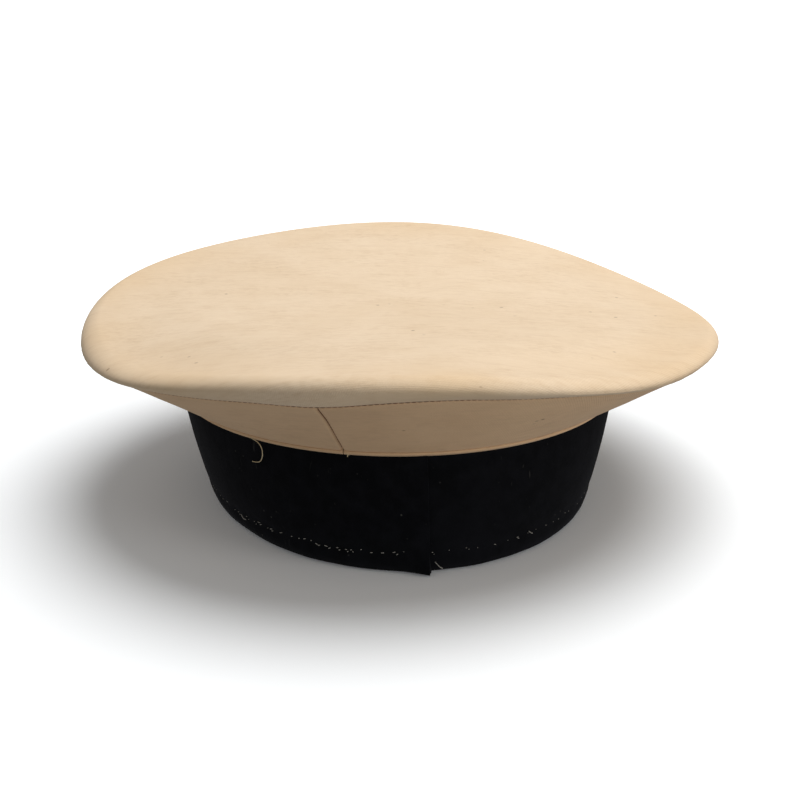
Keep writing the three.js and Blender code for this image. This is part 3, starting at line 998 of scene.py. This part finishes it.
# Inside: stiffener, leather sweatband, linings, wadding, tapes and the felt over the hoop.
inside = {"stiffener": {"thickness": buckram, "from": 2.8 * mm, "to": 48 * mm},
          "sweatband": {"thickness": 1.2 * mm, "from": 0.8 * mm, "to": 38 * mm, "lean": 1.7 * mm,
                        "leanFrom": 14 * mm, "leanReach": 24 * mm, "whips": 14,
                        "joinAt": -90, "stitchRow": 4.2 * mm, "pitch": 3.0 * mm},
          "wadding": {"thickness": 1.2 * mm, "radius": 131.5 * mm, "gap": 0.6 * mm},
          "lining": {"thickness": 0.6 * mm, "radius": 130.8 * mm, "gap": 0.6 * mm},
          "stay": {"thickness": 0.9 * mm, "width": 12 * mm},
          "patch": {"thickness": 0.9 * mm, "width": 26 * mm, "from": 15.6 * mm, "to": 28.4 * mm},
          "wire": {"radius": 1.25 * mm, "gap": 0.2, "sleeve": 2.5 * mm, "wall": 0.8 * mm,
                   "half": 5.06},
          "felt": {"radius": 2.85 * mm, "thickness": 2.2 * mm, "slit": 22, "joiner": 27 * mm}}


def makeStiffener():
    sizes = inside["stiffener"]
    depth = wool + clearance + sizes["thickness"] / 2
    line = [inBand(depth, mix(sizes["from"], sizes["to"], i / 14)) for i in range(15)]
    piece = addStrip("bandStiffener", line, -91, [(359.4, 180)])
    finishCloth(piece, sizes["thickness"], "buckram", "buckram", "band_stiffener")


def leatherLean(height):    # the leather leans in above the hem
    sizes = inside["sweatband"]
    return sizes["lean"] * clamp((height - sizes["leanFrom"]) / sizes["leanReach"]) ** 1.6


def makeSweatband():
    sizes = inside["sweatband"]
    depth = 3 * clearance + 2 * wool + inside["stiffener"]["thickness"] + sizes["thickness"] / 2
    rows = 22
    line = []
    for i in range(rows + 1):
        height = mix(sizes["from"], sizes["to"], i / rows)
        pressed = bell(height - sizes["stitchRow"], 0.8 * mm) * 0.12 * mm
        line.append(inBand(depth + leatherLean(height) - pressed, height))
    gap = math.degrees(0.3 * mm / line[0].x)
    piece = addStrip("sweatbandLeather", line, sizes["joinAt"] + gap, [(360 - 2 * gap, 260)])

    def soften(p):
        free = clamp((p.z - 16 * mm) / (20 * mm))
        lying = noise.noise(Vector((p.x * 26, p.y * 26, p.z * 12))) + 0.4 * noise.noise(p * 90)
        return -outOf(p) * 0.45 * mm * (lying + 0.6) * free
    shift(piece, soften)
    finishCloth(piece, sizes["thickness"], "leather", "sweatband_leather", "sweatband")
    lengthsAlong(line)[-1]
    stitch = addStitch("sweatbandStitches", 1.7 * mm, 0.45 * mm, 0.35 * mm)
    inner = sizes["thickness"] / 2 + 0.02 * mm
    count = round(math.tau * line[0].x / sizes["pitch"])
    places = []
    for i in range(count):
        degrees = sizes["joinAt"] + 360 * (i + 0.5) / count
        places.append(stitchOn(inBand(depth + inner - 0.12 * mm, sizes["stitchRow"]),
                               Vector((-1, 0)), degrees))
    for i in range(sizes["whips"]):    # whipped stitches close the butt join, over its patch
        height = mix(6 * mm, sizes["to"] - 3 * mm, i / (sizes["whips"] - 1))
        point = inBand(depth + inner + leatherLean(height) + 0.2 * mm, height)
        places.append(stitchOn(point, Vector((-1, 0)), sizes["joinAt"], (-1) ** i * 0.7, (1.5, 1)))
    sewn = sewStitches(stitch, places)
    dress(sewn, "brownThread", "brown_thread")


def makePatch():
    sizes = inside["patch"]
    depth = 2 * clearance + wool + inside["stiffener"]["thickness"] + 1 * mm
    line = [inBand(depth, mix(sizes["from"], sizes["to"], i / 6)) for i in range(7)]
    half = math.degrees(sizes["width"] / 2 / line[3].x)
    piece = addStrip("joinPatch", line, inside["sweatband"]["joinAt"] - half, [(2 * half, 10)])
    finishCloth(piece, sizes["thickness"], "tape", "tape", "sweatband_join_patch")


waddingHeight = (topHeight - drill / 2 - inside["wadding"]["gap"]
                 - inside["wadding"]["thickness"] / 2)
liningHeight = (waddingHeight - inside["wadding"]["thickness"] / 2 - inside["lining"]["gap"]
                - inside["lining"]["thickness"] / 2)


def makeDisc(name, height, sizes, softness):
    line = [Vector((0, height))]
    line += straight(line[0], Vector((sizes["radius"], height)), 34)
    piece = addSpun(name, line, 0, [(360, 180)])
    spring(piece)
    shift(piece, lambda p: Vector((0, 0, softness * noise.noise(p * 34) * clamp(p.xy.length * 20))))
    thicken(piece, sizes["thickness"])
    return piece


def makeTopLayers():
    wadding = makeDisc("crownWadding", waddingHeight, inside["wadding"], 0.15 * mm)
    dress(wadding, "wadding", "wadding", "top_interlining")
    lining = makeDisc("topLining", liningHeight, inside["lining"], 0.3 * mm)
    dress(lining, "lining", "lining", "top_lining")
    cut = 2 * inside["lining"]["radius"]


def sideLiningLine():
    thickness = inside["lining"]["thickness"]
    deep = 1.5 * drill + 2 * clearance + thickness / 2
    lipHeight = liningHeight - thickness - inside["lining"]["gap"]
    dropRadius = hoopRadius - 5 * mm
    dropFoot = (dropRadius - seam.x - slopeInside.x * deep) / slope.x
    skirt = 2 * clearance + wool + buckram + drill + clearance + thickness / 2
    line = [Vector((dropRadius - 6 * mm, lipHeight))]
    line += straight(line[-1], Vector((dropRadius - 1 * mm, lipHeight)), 3)
    line.append(Vector((dropRadius - 0.2 * mm, lipHeight - 0.5 * mm)))
    line += straight(line[-1], onSlope(dropFoot + 0.6 * mm, deep), 4)
    line += straight(line[-1], onSlope(slopeLength - 0.2 * mm, deep), 22)
    line += straight(line[-1], Vector((inBand(skirt, bandHeight).x,
                                       onSlope(slopeLength, deep).y - thickness)), 3)
    line += straight(line[-1], inBand(skirt, 30 * mm), 10)
    return line


def makeSideLining():
    line = sideLiningLine()
    piece = addStrip("sideLining", line, 180, [(360, 300)])

    def soften(p):    # soft folds that run from the crown down to the band
        onCloth = clamp((p.z - bandHeight - 3 * mm) / (8 * mm))
        held = clamp((0.92 * hoopRadius - p.xy.length) / (8 * mm))
        fold = noise.noise(Vector((math.radians(angleOf(p)) * 14, p.z * 12, 1.7)))
        return Vector((0, 0, (0.35 * fold + 0.35) * mm * 1.6 * onCloth * held))
    shift(piece, soften)
    finishCloth(piece, inside["lining"]["thickness"], "lining", "lining", "side_lining")
    height = lengthsAlong(line)[-1]


def makeStays():
    sizes = inside["stay"]
    deep = drill / 2 + clearance + sizes["thickness"] / 2
    line = [onSlope(seamAllowance + 1.6 * mm, deep)]
    line += straight(line[0], onSlope(slopeLength - 4 * mm, deep), 12)
    for i, side in enumerate(quarterNames):
        seamTurn = quarterSeamAt + 90 * i
        half = math.degrees(sizes["width"] / 2 / line[6].x)
        piece = addStrip("stay" + side.title(), line, seamTurn - half, [(2 * half, 8)])
        shift(piece, creaseAt((seamTurn,)))
        finishCloth(piece, sizes["thickness"], "tape", "tape", "seam_stay_" + side)
        lengthsAlong(line)[-1]


def makeHoopFelt():
    sizes = inside["felt"]
    line = arc(Vector((hoopRadius, hoopHeight)), sizes["radius"], -180 + sizes["slit"],
               180 - sizes["slit"], 20)
    half = math.degrees(sizes["joiner"] / 2 / hoopRadius)
    piece = addStrip("hoopFelt", line, 90 + half, [(360 - 2 * half, 260)])
    finishCloth(piece, sizes["thickness"], "felt", "felt", "hoop_padding")


def makeHoopSteel():
    sizes = inside["wire"]
    for name, radius, start, sweep, node in (
            ("hoopWire", sizes["radius"], 90 + sizes["gap"], 360 - 2 * sizes["gap"], "hoop_wire"),
            ("hoopJoiner", sizes["sleeve"], 90 - sizes["half"], 2 * sizes["half"], "hoop_joiner")):
        deselect()
        a = math.radians(start)
        at = Vector((hoopRadius * math.cos(a), hoopRadius * math.sin(a), hoopHeight))
        bpy.ops.mesh.primitive_circle_add(vertices=14, radius=radius, fill_type="NGON", location=at,
                                          rotation=(math.radians(90), 0, a))
        piece = bpy.context.object
        piece.name = piece.data.name = name
        bpy.ops.object.transform_apply(location=True, rotation=True, scale=True)
        bpy.ops.object.mode_set(mode="EDIT")
        bpy.ops.mesh.select_all(action="SELECT")
        if name == "hoopJoiner":    # a tube, open at its ends for the wire
            bpy.ops.mesh.inset(thickness=sizes["wall"])
            bpy.ops.mesh.delete(type="FACE")
            bpy.ops.mesh.select_all(action="SELECT")
        bpy.ops.mesh.spin(steps=round(sweep), angle=-math.radians(sweep), center=(0, 0, 0),
                          axis=(0, 0, 1), use_auto_merge=False)
        bpy.ops.object.mode_set(mode="OBJECT")
        closeUp(piece)

        def carry(p):    # the steel keeps its round section
            middle = outOf(p) * hoopRadius + Vector((0, 0, hoopHeight))
            return onCap(middle) - middle
        shift(piece, carry)
        dress(piece, "steel", "spring_steel", node)


makeHoopSteel()
makeStiffener()
makeSweatband()
makePatch()
makeTopLayers()
makeSideLining()
makeStays()
makeHoopFelt()

math.tau * bandFace(bandHeight / 2)

# A pale floor that curves up into the background and glows away from the cap as painted light; two
# soft lamps, a pale sky.
studio = {"floorRadius": 2.2, "wall": 1.4, "bend": 0.9, "aim": (0, 0, 0.05),
          "floor": (0.88, 0.93, 0.985), "sky": (1.0, 0.975, 0.94),
          "skyStrength": 0.30, "glow": (0.14, 0.345), "shade": 0.05,
          "key": {"at": (0.42, 0.18, 1.72), "size": 1.4, "power": 27.4,
                  "colour": (1.0, 0.965, 0.925)},
          "fill": {"at": (1.35, -1.05, 0.30), "size": 0.9, "power": 9.5,
                   "colour": (1.0, 0.95, 0.88)}}


def addFloor():
    deselect()
    bpy.ops.mesh.primitive_circle_add(vertices=96, radius=studio["floorRadius"], fill_type="NGON")
    floor = bpy.context.object
    floor.name = "floor"
    bpy.ops.object.mode_set(mode="EDIT")
    bpy.ops.mesh.select_all(action="SELECT")
    bpy.ops.mesh.extrude_region_move(TRANSFORM_OT_translate={"value": (0, 0, studio["wall"])})
    bpy.ops.mesh.delete(type="ONLY_FACE")
    bpy.ops.object.mode_set(mode="OBJECT")
    bend = floor.modifiers.new("bend", "BEVEL")
    bend.width = studio["bend"]
    bend.segments = 12
    bend.angle_limit = math.radians(60)
    useModifier(floor, bend)
    bpy.ops.object.shade_smooth()
    paper = Finish("paleFloor", Roughness=0.9, EmissionStrength=1.0)
    away = paper.length(paper.objectPlace())    # the paper glows white away from the cap
    # the glow is painted light: dim beside the cap, where it deepens the shadow, and white further
    # off
    glow = paper.blend((0, 0, 0), (1, 1, 1), away.between(*studio["glow"]) * 0.5 + studio["shade"])
    paper.set(BaseColor=studio["floor"], EmissionColor=glow)
    floor.data.materials.append(paper.material)
    floor.visible_diffuse = False    # so the cap's underside stays in shade
    floor.visible_glossy = False


def addLamp(name, sizes):
    deselect()
    bpy.ops.object.light_add(type="AREA", location=sizes["at"])
    lamp = bpy.context.object
    lamp.name = name
    lamp.data.shape = "DISK"
    lamp.data.size = sizes["size"]
    lamp.data.energy = sizes["power"]
    lamp.data.color = sizes["colour"]
    aim = Vector(studio["aim"]) - lamp.location
    lamp.rotation_euler = aim.to_track_quat("-Z", "Y").to_euler()


def addSky():
    world = bpy.data.worlds.new("paleSky")
    world.use_nodes = True
    backdrop = world.node_tree.nodes["Background"]
    backdrop.inputs["Color"].default_value = (*studio["sky"], 1)
    backdrop.inputs["Strength"].default_value = studio["skyStrength"]
    bpy.context.scene.world = world


addFloor()
addLamp("key", studio["key"])
addLamp("fill", studio["fill"])
addSky()
bpy.context.scene.view_settings.view_transform = "Standard"
print("studio lit")
